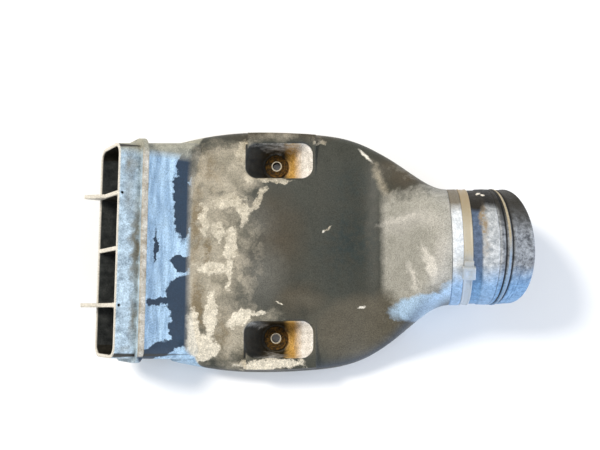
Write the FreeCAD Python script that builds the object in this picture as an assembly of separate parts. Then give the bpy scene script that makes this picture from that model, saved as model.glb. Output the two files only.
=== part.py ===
"""Air intake duct: one blow moulded plastic shell with a rubber outlet boot.

The flat body lies on its bottom face. Its mouth turns up at the left end, its
round neck rises at the right end and carries a drooping rubber boot, held by a
nylon tie. Two deep pockets let the fixing bolts through, each in a rubber
grommet with a steel sleeve.

Frame in millimetres: +X from the mouth to the outlet, +Z up, Z = 0 on the
resting face, the origin midway between the two bolt holes.
"""
import FreeCAD, Part
import math
import os

Vector = FreeCAD.Vector

# Walls
shell_wall = 2.4
boot_wall = 3.0
fit_play = 0.3

# Body, seen from above
widest_half = 94.8
crease_half = 86.5
taper_start_x = 10.0
crown_start_x = -13.0
taper_skew = 2.3
side_bow = 18.0

# Body, seen from the side
body_height = 32.0
crown_power = 3.0
floor_power = 5.0
rise_start_x = 70.0
bottom_flat = 0.8
outline_points = 24
start_share = 0.11
end_share = 0.2

# Mouth tube, which leaves the body at the crease
crease_x = -77.0
mouth_angle = 35.0
lean_long = 34.0
mouth_root = 8.0
mouth_height = 40.0
mouth_root_half = 84.4
mouth_lip_half = 79.0
mouth_drift = -2.5
mouth_length = 58.0
mouth_corner = 9.0

# Collar round the mouth tube
collar_back = 18.4
collar_thick = 4.2
collar_side = 3.0
collar_top = 5.6

# Three plates across the mouth, the outer two with a pointed prong
web_thick = 3.0
web_deep = 24.0
web_offset = 41.0
prong_reach = 12.5
prong_root = 13.0
prong_tip = 1.2
web_hole_radius = 1.1
web_hole_deep = 7.0
web_head = 5.5

# Bolt holes, pockets and the flat pads round them
bolt_pitch = 138.6
bolt_radius = 3.3
pocket_long = 52.0
pocket_wide = 27.0
pocket_shift = 2.6
pocket_corner = 9.0
pocket_floor_radius = 11.0
pocket_floor_flat = 1.0
pocket_floor = 6.0
mouth_ease = 1.5
pad_long = 53.5
pad_height = 30.8
pad_inner = 45.0
pad_corner = 7.0
pad_draft = 3.0
pad_shift = 4.0

# Grommets and sleeves in the pocket floors
grommet_radius = 9.4
grommet_flange = 1.6
grommet_neck_radius = 6.2
sleeve_radius = 4.25
sleeve_proud = 0.4

# Neck and boot: the neck rises a little and the boot droops
neck_centre_x = 140.0
neck_clear = 1.2
neck_rise = 6.0
boot_radius = 43.0
sleeve_raise = 0.4
tie_groove_deep = 1.5
valley_deep = 1.0
boot_back = 11.0
step_ahead = 9.6
tie_width = 6.4
barrel_bend = 10.5
barrel_pivot = 65.0
end_droop = 14.0
end_roll = 16.0
end_length = 11.4
spigot_ahead = 3.4
bore_back = 7.2
groove_wide = 0.7
groove_deep = 1.0
groove_starts = (-2.4, 0.5)
edge_break = 0.8

# Cable tie
tie_thick = 1.5
tie_head_angle = 28.0
tie_head_long = 9.6
tie_head_wide = 9.0
tie_head_tall = 5.2
tie_tail_long = 4.0

# Worked out from the values above
sleeve_end_radius = boot_radius + sleeve_raise
neck_centre_z = sleeve_end_radius + neck_clear
bore_radius = boot_radius - boot_wall
neck_radius = sleeve_end_radius
spigot_radius = boot_radius - boot_wall - fit_play
spigot_bore = spigot_radius - shell_wall
tie_seat_radius = sleeve_end_radius - tie_groove_deep
body_mid = body_height / 2.0


def ease(share):
    """A smooth step from 0 to 1."""
    share = max(0.0, min(1.0, share))
    return (1.0 - math.cos(math.pi * share)) / 2.0


def rad(angle):
    return math.radians(angle)


# Axes that the mouth, neck and boot follow, each as an origin and a direction
mouth_out = Vector(-math.cos(rad(mouth_angle)), 0, math.sin(rad(mouth_angle)))
mouth_up = Vector(math.sin(rad(mouth_angle)), 0, math.cos(rad(mouth_angle)))
neck_centre = Vector(neck_centre_x, 0, neck_centre_z)
neck_out = Vector(math.cos(rad(neck_rise)), 0, math.sin(rad(neck_rise)))
neck_up = Vector(-math.sin(rad(neck_rise)), 0, math.cos(rad(neck_rise)))
neck_start = neck_centre - neck_out * boot_back
crease_centre = Vector(crease_x, 0, body_mid)
side_way = Vector(0, 1, 0)

# The middle of the ring where the bent barrel ends, and the way the end points
ring_lean = rad(neck_rise - barrel_bend)
ring_up = Vector(-math.sin(ring_lean), 0, math.cos(ring_lean))
ring_out = Vector(math.cos(ring_lean), 0, math.sin(ring_lean))
ring_centre = neck_centre + neck_out * step_ahead + (ring_up - neck_up) * barrel_pivot
end_side = Vector(0, -math.sin(rad(end_roll)), math.cos(rad(end_roll)))
end_out = Vector(math.cos(rad(end_droop)), 0, 0) - end_side * math.sin(rad(end_droop))
end_up = Vector(math.sin(rad(end_droop)), 0, 0) + end_side * math.cos(rad(end_droop))


def side_of(up):
    """The level direction square to up, for rings that lean."""
    return Vector(0, up.z, -up.y).normalize()


def ring_wire(centre, up, half_width, half_up, half_down, upper_power, lower_power):
    """A closed smooth outline: a superellipse above, a flatter one below."""
    points = []
    for i in range(outline_points):
        angle = 2.0 * math.pi * i / outline_points
        power, half = (upper_power, half_up) if math.sin(angle) >= 0 else (lower_power, half_down)
        across = math.copysign(abs(math.cos(angle)) ** (2.0 / power), math.cos(angle))
        height = math.copysign(abs(math.sin(angle)) ** (2.0 / power), math.sin(angle))
        points.append(centre + side_way * (half_width * across) + up * (half * height))
    curve = Part.BSplineCurve()
    curve.interpolate(Points=points, PeriodicFlag=True)
    return Part.Wire([curve.toShape()])


def box_wire(centre, across, up, half_width, half_up, corner):
    """A rounded rectangle in the plane of across and up."""
    def at(u, v):
        return centre + across * u + up * v

    a, b, c = half_width, half_up, corner
    k = c * (1.0 - math.sqrt(0.5))
    edges = []
    for su, sv in ((1, 1), (-1, 1), (-1, -1), (1, -1)):
        if su * sv > 0:
            first = at(su * a, sv * (b - c))
            last = at(su * (a - c), sv * b)
        else:
            first = at(su * (a - c), sv * b)
            last = at(su * a, sv * (b - c))
        edges.append(Part.Arc(first, at(su * (a - k), sv * (b - k)), last).toShape())
    joined = []
    for i, edge in enumerate(edges):
        start = edge.Vertexes[-1].Point
        end = edges[(i + 1) % 4].Vertexes[0].Point
        joined += [edge, Part.LineSegment(start, end).toShape()]
    return Part.Wire(joined)


def loft(wires, ruled=False):
    return Part.makeLoft(wires, True, ruled)


def plan_half(x):
    """Half of the body's width at a place along it."""
    if x < crown_start_x:
        share = (crown_start_x - x) / (crown_start_x - crease_x)
        return widest_half - (widest_half - crease_half) * share ** 2
    share = max(0.0, (x - taper_start_x) / (neck_start.x - taper_start_x))
    bowed = widest_half - side_bow * ((x - crown_start_x) / (neck_start.x - crown_start_x)) ** 2
    return bowed + (neck_radius - bowed) * ease(share ** taper_skew)


def body_solid(inset, start_inset, end_inset):
    """The body and the cone of the neck, drawn in by inset, and by other amounts at its two ends."""
    length = neck_start.x - crease_x
    shares = [0.0, 0.05, 0.11, 0.19, 0.29, 0.4, 0.5, 0.58, 0.65, 0.71, 0.77, 0.83, 0.89, 0.95, 1.0]
    wires = []
    for share in shares:
        x = crease_x + length * share
        rise = ease((x - rise_start_x) / (neck_start.x - rise_start_x))
        lean = mouth_angle * (1.0 - ease((x - crease_x) / lean_long)) - neck_rise * rise
        half = body_mid + (neck_radius - body_mid) * rise
        centre = Vector(x, 0, body_mid + (neck_start.z - body_mid) * rise)
        up = Vector(math.sin(rad(lean)), 0, math.cos(rad(lean)))
        stretch = 1.0 / math.cos(rad(lean)) if x < 0 else 1.0
        upper = crown_power + (2.0 - crown_power) * rise
        lower = floor_power + (2.0 - floor_power) * rise
        drawn = inset + (start_inset - inset) * max(0.0, 1.0 - share / start_share)
        drawn += (end_inset - inset) * max(0.0, 1.0 - (1.0 - share) / end_share)
        half_up = half * stretch - drawn
        half_down = half * stretch + bottom_flat * (1.0 - rise) - drawn
        wires.append(ring_wire(centre, up, plan_half(x) - drawn, half_up, half_down, upper, lower))
    return loft(wires)


def mouth_centre(along):
    """The middle of the mouth tube at a place along it; it drifts a little to one side."""
    return crease_centre + mouth_out * along + side_way * (mouth_drift * along / mouth_length)


def mouth_half(along):
    """Half of the mouth tube's width at a place along it."""
    return mouth_root_half + (mouth_lip_half - mouth_root_half) * along / mouth_length


def mouth_solid(inset, back, ahead):
    """The mouth tube between two places along its axis, drawn in by inset."""
    wires = []
    for along in (-back, mouth_length + ahead):
        half = mouth_half(along) - inset
        tall = mouth_height / 2.0 - inset
        wires.append(box_wire(mouth_centre(along), side_way, mouth_up, half, tall, mouth_corner - inset))
    return loft(wires, True)


def collar():
    """The raised collar round the mouth tube, taller above than at its sides."""
    wires = []
    lift = (collar_top - collar_side) / 2.0
    for shift in (-collar_thick / 2.0, collar_thick / 2.0):
        along = mouth_length - collar_back + shift
        centre = mouth_centre(along) + mouth_up * lift
        half = mouth_half(along) + collar_side
        tall = mouth_height / 2.0 + collar_side + lift
        wires.append(box_wire(centre, side_way, mouth_up, half, tall, mouth_corner + collar_side))
    return loft(wires, True)


def web(y, pronged):
    """One plate across the mouth, flush with the lip, with or without a prong."""
    half = (mouth_height - shell_wall) / 2.0
    lip = mouth_centre(mouth_length) + side_way * y

    def at(along, up):
        return lip + mouth_out * along + mouth_up * up - side_way * (web_thick / 2.0)

    outline = [at(-web_deep, -half), at(-web_deep, half), at(0.0, half)]
    if pronged:
        outline.append(at(prong_tip, prong_root - half))
        outline.append(at(prong_reach, prong_tip - half))
        outline.append(at(prong_reach, -half))
    else:
        outline.append(at(0.0, -half))
    plate = Part.Face(Part.makePolygon(outline + outline[:1])).extrude(side_way * web_thick)
    if not pronged:
        return plate
    # The end at the upper lip is a thicker head with a small blind hole.
    foot = lip + mouth_up * (half - web_hole_deep) - mouth_out * web_head / 2.0
    return plate.fuse(Part.makeCylinder(web_head / 2.0, web_hole_deep, foot, mouth_up))


def web_hole(y):
    """The small blind hole in the head of a pronged plate."""
    lip = mouth_centre(mouth_length) + side_way * y
    top = lip + mouth_up * mouth_height / 2.0 - mouth_out * web_head / 2.0
    return Part.makeCylinder(web_hole_radius, web_hole_deep, top, mouth_up * -1.0)


def bolt_places():
    """Where the two bolts pass, on the resting face."""
    return [Vector(0, side * bolt_pitch / 2.0, 0) for side in (1, -1)]


def pocket_solid(place, outset):
    """The funnel of a pocket, from its floor to above the top, grown by outset."""
    across = Vector(1, 0, 0)
    floor_half = pocket_floor_radius + outset

    def rim(level, extra):
        centre = place + Vector(pocket_shift, 0, level)
        long_half = pocket_long / 2.0 + outset + extra
        wide_half = pocket_wide / 2.0 + outset + extra
        return box_wire(centre, across, side_way, long_half, wide_half, pocket_corner + outset + extra)

    low = place + Vector(0, 0, pocket_floor - outset)
    floor = box_wire(low, across, side_way, floor_half, floor_half, floor_half - pocket_floor_flat / 2.0)
    funnel = loft([floor, rim(pad_height - mouth_ease, 0.0)], True)
    flare = loft([rim(pad_height - mouth_ease, 0.0), rim(pad_height + mouth_ease, 2.0 * mouth_ease)], True)
    above = Part.Face(rim(pad_height + mouth_ease, 2.0 * mouth_ease)).extrude(Vector(0, 0, body_height))
    return funnel.multiFuse([flare, above])


def plan_wire(inset, level):
    """The body's outline round the pads, drawn in by inset, at one level."""
    places = [pocket_shift + pad_shift + pad_long * share for share in (-1.0, -0.6, -0.2, 0.2, 0.6, 1.0)]
    ahead = [Vector(x, plan_half(x) - inset, level) for x in places]
    back = [Vector(point.x, -point.y, point.z) for point in reversed(ahead)]
    edges = []
    for points, after in ((ahead, back), (back, ahead)):
        curve = Part.BSplineCurve()
        curve.interpolate(points)
        edges.append(curve.toShape())
        edges.append(Part.LineSegment(points[-1], after[0]).toShape())
    return Part.Wire(edges)


def pads(inset):
    """The flat pads round both pockets, out to the sloping side of the body."""
    low = body_mid - pad_draft
    block = loft([plan_wire(inset, low), plan_wire(inset + pad_draft, pad_height - inset)], True)
    outer = widest_half + 2.0 * pad_corner
    slabs = []
    for place in bolt_places():
        sign = math.copysign(1.0, place.y)
        centre = Vector(place.x + pocket_shift + pad_shift / 2.0, sign * (pad_inner + outer) / 2.0, low)
        half_long = pad_long / 2.0 - inset
        wire = box_wire(centre, Vector(1, 0, 0), side_way, half_long, (outer - pad_inner) / 2.0, pad_corner)
        slabs.append(Part.Face(wire).extrude(Vector(0, 0, body_height)).common(block))
    return slabs


def half_space(level):
    """A large block under a level."""
    size = 4.0 * (widest_half + mouth_length)
    return Part.makeBox(size, size, size, Vector(-size / 2.0, -size / 2.0, level - size))


def duct_shell():
    """The one moulding: body, pockets, mouth tube with its collar and plates, neck and spigot."""
    spigot_long = boot_back + spigot_ahead
    spigot = Part.makeCylinder(spigot_radius, spigot_long, neck_start, neck_out)
    bore_start = neck_start - neck_out * bore_back
    bore = Part.makeCylinder(spigot_bore, spigot_long + 2.0 * bore_back, bore_start, neck_out)
    places = bolt_places()
    bases = [Part.makeCylinder(pocket_floor_radius + shell_wall, pocket_floor, place) for place in places]
    outer = body_solid(0.0, 0.0, 0.0)
    outer = outer.multiFuse([mouth_solid(0.0, mouth_root, 0.0), collar(), spigot] + pads(0.0))
    outer = outer.cut(half_space(0.0)).multiFuse(bases)
    void_start = crease_half - mouth_root_half + shell_wall + fit_play
    void = body_solid(shell_wall, void_start, neck_radius - spigot_bore + fit_play)
    void = void.multiFuse([mouth_solid(shell_wall, mouth_root, shell_wall), bore] + pads(shell_wall))
    liners = [pocket_solid(place, shell_wall) for place in places]
    void = void.cut(Part.makeCompound([half_space(shell_wall)] + liners + bases))
    funnels = [pocket_solid(place, 0.0) for place in places]
    holes = [Part.makeCylinder(grommet_neck_radius, pocket_floor, place) for place in places]
    shell = outer.cut(Part.makeCompound([void] + funnels + holes))
    shell = shell.multiFuse([web(y, y != 0.0) for y in (web_offset, 0.0, -web_offset)])
    return shell.cut(Part.makeCompound([web_hole(y) for y in (web_offset, -web_offset)]))


def grommet(place):
    flange = Part.makeCylinder(grommet_radius, grommet_flange, place + Vector(0, 0, pocket_floor))
    neck = Part.makeCylinder(grommet_neck_radius, pocket_floor, place)
    hole = Part.makeCylinder(sleeve_radius, pocket_floor + grommet_flange, place)
    return flange.fuse(neck).cut(hole)


def sleeve(place):
    length = pocket_floor + grommet_flange + sleeve_proud
    return Part.makeCylinder(sleeve_radius, length, place).cut(Part.makeCylinder(bolt_radius, length, place))


def turned(profile, origin, axis, up):
    """A ring turned about an axis from points of (along, radius)."""
    points = [origin + axis * along + up * radius for along, radius in profile]
    face = Part.Face(Part.makePolygon(points + points[:1]))
    return face.revolve(origin, axis, 360)


def circle_wire(centre, up, radius):
    """A circle round a centre, in the plane of up and the side way, from its top."""
    top = centre + up * radius
    circle = Part.Circle(top, centre + side_of(up) * radius, centre - up * radius)
    return Part.Wire([circle.toShape()])


def bent(centre, up, radius, pivot, angle):
    """A disc swung about a level axis through the pivot."""
    return Part.Face(circle_wire(centre, up, radius)).revolve(pivot, side_way, angle)


def outlet_boot():
    """The rubber boot: a straight sleeve on the spigot, a bent barrel and a drooping end."""
    tie_from = boot_back - tie_width / 2.0
    tie_to = boot_back + tie_width / 2.0
    step_at = boot_back + step_ahead
    valley_radius = sleeve_end_radius - valley_deep
    sleeve_profile = [
        (0.0, spigot_radius),
        (0.0, sleeve_end_radius - edge_break),
        (edge_break, sleeve_end_radius),
        (tie_from, sleeve_end_radius),
        (tie_from, tie_seat_radius),
        (tie_to, tie_seat_radius),
        (tie_to, valley_radius),
        (step_at - edge_break, valley_radius),
        (step_at, boot_radius),
        (step_at, spigot_radius),
    ]
    rear = turned(sleeve_profile, neck_start, neck_out, neck_up)
    step_centre = neck_centre + neck_out * step_ahead
    pivot = step_centre - neck_up * barrel_pivot
    outer = bent(step_centre, neck_up, boot_radius, pivot, barrel_bend)
    inner = bent(step_centre, neck_up, spigot_radius, pivot, barrel_bend)
    lip = ring_centre + end_out * end_length
    rims = [circle_wire(ring_centre, ring_up, boot_radius)]
    rims.append(circle_wire(lip - end_out * edge_break, end_up, boot_radius))
    rims.append(circle_wire(lip, end_up, boot_radius - edge_break))
    # The straight bore goes back until its whole flat end is past the ring's plane.
    bore_long = end_length + bore_radius * math.sin(ring_out.getAngle(end_out)) + fit_play
    bore = Part.makeCylinder(bore_radius, bore_long + edge_break, lip - end_out * bore_long, end_out)
    spigot = Part.makeCylinder(spigot_radius, step_at, neck_start, neck_out)
    hollow = inner.multiFuse([bore, spigot])
    grooves = [groove(start) for start in groove_starts]
    return outer.multiFuse([loft(rims, True), rear]).cut(hollow).cut(Part.makeCompound(grooves))


def groove(start):
    """A ring that cuts one V groove round the boot where its barrel ends."""
    out = boot_radius + groove_deep
    middle = start + groove_wide
    profile = [(start, out), (middle, boot_radius - groove_deep), (middle + groove_wide, out)]
    return turned(profile, ring_centre, ring_out, ring_up)


def block_at(corner, along, long, across, wide, up, tall):
    """A block from one corner along three directions."""
    points = [corner, corner + along * long, corner + along * long + across * wide, corner + across * wide]
    return Part.Face(Part.makePolygon(points + points[:1])).extrude(up * tall)


def cable_tie():
    """A strap round the boot with its square head and the end of its tail."""
    start = neck_centre - neck_out * tie_width / 2.0
    strap = Part.makeCylinder(tie_seat_radius + tie_thick, tie_width, start, neck_out)
    strap = strap.cut(Part.makeCylinder(tie_seat_radius, tie_width, start, neck_out))
    head_way = neck_up * math.cos(rad(tie_head_angle)) - side_way * math.sin(rad(tie_head_angle))
    round_way = neck_out.cross(head_way)
    seat = neck_centre + head_way * (sleeve_end_radius + fit_play)
    strap_side = neck_out * tie_width / 2.0
    head_side = round_way * tie_head_long / 2.0
    corner = seat - neck_out * tie_head_wide / 2.0 - head_side
    head = block_at(corner, neck_out, tie_head_wide, round_way, tie_head_long, head_way, tie_head_tall)
    corner = neck_centre + head_way * (tie_seat_radius + tie_thick / 2.0) - strap_side - head_side
    tall = sleeve_end_radius + fit_play * 2.0 - tie_seat_radius - tie_thick / 2.0
    core = block_at(corner, neck_out, tie_width, round_way, tie_head_long, head_way, tall)
    corner = seat - strap_side - head_side - round_way * tie_tail_long + head_way * tie_thick
    tail = block_at(corner, neck_out, tie_width, round_way, tie_tail_long, head_way, tie_thick)
    return strap.multiFuse([head, core, tail])


def save(shape, name):
    print(name, "solids", len(shape.Solids), "valid", shape.isValid(), "volume", round(shape.Volume))
    shape.exportStep("parts/" + name + ".step")


def main():
    os.makedirs("parts", exist_ok=True)
    save(duct_shell(), "duct_shell")
    save(outlet_boot(), "outlet_boot")
    save(cable_tie(), "cable_tie")
    for side, place in zip(("left", "right"), bolt_places()):
        save(grommet(place), side + "_grommet")
        save(sleeve(place), side + "_sleeve")


main()
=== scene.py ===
"""Looks of a moulded air intake duct with a rubber outlet boot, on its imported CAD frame.

The shell keeps its CAD mesh and gets a weathered plastic. The boot, the tie, the
grommets and the sleeves are surfaces worked out here, in metres, in the CAD frame.
"""

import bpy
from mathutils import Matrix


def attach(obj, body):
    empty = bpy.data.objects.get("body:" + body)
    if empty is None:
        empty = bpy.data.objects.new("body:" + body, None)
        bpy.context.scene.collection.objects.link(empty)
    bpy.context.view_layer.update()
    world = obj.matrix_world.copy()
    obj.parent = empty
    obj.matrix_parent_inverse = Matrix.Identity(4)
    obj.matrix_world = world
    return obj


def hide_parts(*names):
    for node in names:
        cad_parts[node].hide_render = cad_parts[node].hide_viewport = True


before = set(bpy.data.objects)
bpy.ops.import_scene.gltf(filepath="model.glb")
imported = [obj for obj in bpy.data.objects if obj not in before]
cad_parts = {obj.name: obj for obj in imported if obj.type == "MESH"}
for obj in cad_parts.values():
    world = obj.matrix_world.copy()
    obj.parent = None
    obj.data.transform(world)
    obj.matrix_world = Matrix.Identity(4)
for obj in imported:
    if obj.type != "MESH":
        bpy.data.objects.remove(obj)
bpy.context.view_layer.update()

import math
from types import SimpleNamespace

import bpy
import numpy as np
from mathutils import Vector

bl_info = {
    "name": "Air intake duct",
    "version": (1, 0, 0),
    "blender": (4, 5, 0),
    "location": "3D View > Sidebar > Air duct",
    "description": "Builds the boot, tie, grommets, sleeves, finishes and stage of an air intake duct",
    "category": "Object",
}

MM = 0.001


def linear(colour):
    """A six digit sRGB hex colour as linear red, green and blue."""
    parts = [int(colour[i:i + 2], 16) / 255.0 for i in (0, 2, 4)]
    return tuple(c / 12.92 if c <= 0.04045 else ((c + 0.055) / 1.055) ** 2.4 for c in parts)


def colour_setting(name, description, colour):
    """A colour that a user can change, from its sRGB hex value."""
    return bpy.props.FloatVectorProperty(
        name=name, description=description, subtype="COLOR", size=3, min=0.0, max=1.0, default=linear(colour))


def length_setting(name, description, millimetres):
    """A length that a user can change, from its value in millimetres."""
    return bpy.props.FloatProperty(
        name=name, description=description, unit="LENGTH", subtype="DISTANCE", precision=5,
        min=0.0, default=millimetres * MM)


# ---- Settings that a user would change ----


class DuctFinish(bpy.types.PropertyGroup):
    """Colours of the weathered moulding."""

    bare: colour_setting("Bare plastic", "Clean dark moulding", "3A3B33")
    earth: colour_setting("Brown tint", "Plastic under a thin brown dust", "463B29")
    # The slate tint is bluer than the plastic: partly a painted reflection of a cool sky
    slate: colour_setting("Slate tint", "Bare plastic of the mouth tube", "1B2F41")
    film: colour_setting("Dried film", "Thick pale crust", "D5CCB8")
    wash: colour_setting("Thin wash", "Thin grey tan film", "88816F")
    edge_round: length_setting("Edge rounding", "Radius that the moulding's edges catch light with", 1.6)


class BootSizes(bpy.types.PropertyGroup):
    """Sizes of the outlet boot; they match the CAD solid."""

    radius: length_setting("Outside radius", "Radius of the bent barrel", 43.0)
    bore: length_setting("Bore radius", "Radius of the open end", 40.0)
    end_length: length_setting("End length", "From the grooves to the lip", 11.4)
    rubber: colour_setting("Rubber", "Bare rubber", "0F0E0A")
    dust: colour_setting("Dust", "Dried dust on the rubber", "CBCDCD")


class TieSizes(bpy.types.PropertyGroup):
    """Sizes of the nylon tie; they match the CAD solid."""

    width: length_setting("Strap width", "Along the duct", 6.4)
    thickness: length_setting("Strap thickness", "Out from the boot", 1.5)
    nylon: colour_setting("Nylon", "Natural nylon", "B0A792")
    aged: colour_setting("Aged nylon", "Yellowed and dirty nylon", "917F5E")


class BoltSeat(bpy.types.PropertyGroup):
    """Sizes of a grommet and its sleeve; they match the CAD solids."""

    pitch: length_setting("Bolt spacing", "Between the two bolt holes", 138.6)
    flange: length_setting("Flange radius", "Outside of the grommet", 9.4)
    rust: colour_setting("Rust", "Rust run from the bolts", "6A4A12")


class StageSettings(bpy.types.PropertyGroup):
    """The floor, the lights and the camera."""

    camera_height: length_setting("Camera height", "Above the floor", 569.0)
    camera_tilt: bpy.props.FloatProperty(
        name="Camera tilt", description="Lean from straight down",
        default=math.radians(7.0), subtype="ANGLE")
    floor: colour_setting("Floor", "Plain pale floor", "F1F1F0")


# ---- Where the neck and the boot lie, in millimetres; the CAD source has the same values ----

NECK_RISE = math.radians(6.0)
BARREL_BEND = math.radians(10.5)
BARREL_PIVOT = 65.0
END_DROOP = math.radians(14.0)
END_ROLL = math.radians(16.0)
BOOT_BACK = 11.0
STEP_AHEAD = 9.6
NECK_CENTRE = np.array([140.0, 0.0, 44.6])
HEAD_ANGLE = math.radians(28.0)
SEAT_RADIUS = 41.9
SLEEVE_RADIUS = 43.4
BARREL_START = BOOT_BACK + STEP_AHEAD
RING = BARREL_START + BARREL_PIVOT * BARREL_BEND
BOOT_INSIDE = 39.8
TUBE_TILT = math.radians(35.0)
SIDE_WAY = np.array([0.0, 1.0, 0.0])


def leaning(angle):
    """Unit vectors along and up for a ring whose axis rises by an angle."""
    along = np.stack([np.cos(angle), np.zeros_like(angle), np.sin(angle)], -1)
    up = np.stack([-np.sin(angle), np.zeros_like(angle), np.cos(angle)], -1)
    return along, up


NECK_OUT, NECK_UP = leaning(np.float64(NECK_RISE))
NECK_START = NECK_CENTRE - NECK_OUT * BOOT_BACK


# ---- Meshes ----


def surface(name, points, closed_rows, capped, measures=(1.0, 1.0)):
    """A mesh of quads over a grid of points, rows by columns; the columns close on themselves.

    closed_rows joins the last row to the first; capped closes both end rows with a fan
    on their middle. The UV map holds column and row as lengths in metres.
    """
    rows, columns = points.shape[:2]
    verts = points.reshape(-1, 3)
    last = rows if closed_rows else rows - 1
    i, j = np.meshgrid(np.arange(last), np.arange(columns), indexing="ij")
    i, j = i.ravel(), j.ravel()
    i2, j2 = (i + 1) % rows, (j + 1) % columns
    quads = np.stack([i * columns + j, i * columns + j2, i2 * columns + j2, i2 * columns + j], 1)
    u = np.stack([j, j + 1, j + 1, j], 1) / columns * measures[0]
    v = np.stack([i, i, i + 1, i + 1], 1) / max(last, 1) * measures[1]
    faces = quads.tolist()
    uv = np.stack([u, v], -1).reshape(-1, 2)
    if capped:
        middles = np.stack([points[0].mean(0), points[-1].mean(0)])
        verts = np.vstack([verts, middles])
        k = np.arange(columns)
        k2 = (k + 1) % columns
        base = rows * columns
        first = np.stack([k2, k, np.full(columns, base)], 1)
        final = np.stack([k, k2, np.full(columns, base + 1)], 1)
        final[:, :2] += (rows - 1) * columns
        faces += first.tolist() + final.tolist()
        uv = np.vstack([uv, np.zeros((columns * 6, 2))])

    # The faces are turned round if the volume that they enclose, times six, is negative
    centred = verts - verts.mean(0)
    a, b, c = (centred[[face[k] for face in faces]] for k in range(3))
    volume = np.sum(a * np.cross(b, c))
    a, c, d = (centred[quads[:, k]] for k in (0, 2, 3))
    volume += np.sum(a * np.cross(c, d))
    if volume < 0.0:
        sizes = [len(f) for f in faces]
        faces = [f[::-1] for f in faces]
        starts = np.concatenate([[0], np.cumsum(sizes)])
        uv = np.vstack([uv[a:b][::-1] for a, b in zip(starts[:-1], starts[1:])])
    mesh = bpy.data.meshes.new(name)
    mesh.from_pydata(verts.tolist(), [], faces)
    layer = mesh.uv_layers.new(name="surface")
    layer.data.foreach_set("uv", uv.astype(np.float32).ravel())
    mesh.polygons.foreach_set("use_smooth", np.ones(len(faces), dtype=bool))
    mesh.update()
    mesh.validate()
    return mesh


def joined(name, meshes):
    """One mesh out of several, kept as separate closed skins."""
    whole = bpy.data.meshes.new(name)
    verts, faces, uvs, start = [], [], [], 0
    for mesh in meshes:
        co = np.zeros(len(mesh.vertices) * 3, np.float32)
        mesh.vertices.foreach_get("co", co)
        uv = np.zeros(len(mesh.loops) * 2, np.float32)
        mesh.uv_layers["surface"].data.foreach_get("uv", uv)
        verts.append(co.reshape(-1, 3))
        uvs.append(uv)
        faces += [[k + start for k in poly.vertices] for poly in mesh.polygons]
        start += len(mesh.vertices)
        bpy.data.meshes.remove(mesh)
    whole.from_pydata(np.vstack(verts).tolist(), [], faces)
    layer = whole.uv_layers.new(name="surface")
    layer.data.foreach_set("uv", np.concatenate(uvs))
    whole.polygons.foreach_set("use_smooth", np.ones(len(faces), dtype=bool))
    whole.update()
    return whole


def piece(mesh, material, slot, *nodes):
    """Links a mesh as a piece that rides on the body and stands for its CAD nodes."""
    thing = bpy.data.objects.new(mesh.name, mesh)
    bpy.context.scene.collection.objects.link(thing)
    mesh.materials.append(material)
    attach(thing, "root")
    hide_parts(*nodes)
    return thing


def corner_cut(points, share):
    """A closed outline with each corner cut at a share of both its sides."""
    after = np.roll(points, -1, axis=0)
    near = points + (after - points) * share
    far = after - (after - points) * share
    return np.stack([near, far], 1).reshape(-1, 2)


def turned(name, profile, origin, axis, up, columns=96):
    """A ring: each profile point (along, radius) turned about the axis.

    Point = origin + axis * along + radius * (cos(a) * up + sin(a) * across).
    """
    across = np.cross(axis, up)
    a = np.linspace(0.0, 2.0 * np.pi, columns, endpoint=False)
    spoke = np.cos(a)[:, None] * up + np.sin(a)[:, None] * across
    along, radius = profile[:, 0], profile[:, 1]
    points = origin + along[:, None, None] * axis + radius[:, None, None] * spoke[None]
    return surface(name, points * MM, True, False)


# ---- The outlet boot ----


def boot_path(s, end_length):
    """Centre, up and side of the boot's ring at each distance s from its rear edge.

    A straight run along the neck, an arc about a level axis under it, then straight
    lines from the last ring of the arc to the lip.
    """
    lean = NECK_RISE - np.clip((s - BARREL_START) / BARREL_PIVOT, 0.0, BARREL_BEND)
    _, up = leaning(lean)
    pivot = NECK_START + NECK_OUT * BARREL_START - NECK_UP * BARREL_PIVOT
    straight = NECK_START + NECK_OUT * np.minimum(s, BARREL_START)[:, None]
    centre = np.where((s > BARREL_START)[:, None], pivot + up * BARREL_PIVOT, straight)
    end_side = np.array([0.0, -math.sin(END_ROLL), math.cos(END_ROLL)])
    end_out = np.array([math.cos(END_DROOP), 0.0, 0.0]) - end_side * math.sin(END_DROOP)
    end_up = np.array([math.sin(END_DROOP), 0.0, 0.0]) + end_side * math.cos(END_DROOP)
    lip_side = np.array([0.0, end_up[2], -end_up[1]])
    lip_side /= np.linalg.norm(lip_side)
    share = np.clip((s - RING) / end_length, 0.0, 1.0)[:, None]
    centre = centre + share * end_out * end_length
    up = up * (1.0 - share) + end_up * share
    side = SIDE_WAY * (1.0 - share) + lip_side * share
    return centre, up, side


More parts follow.
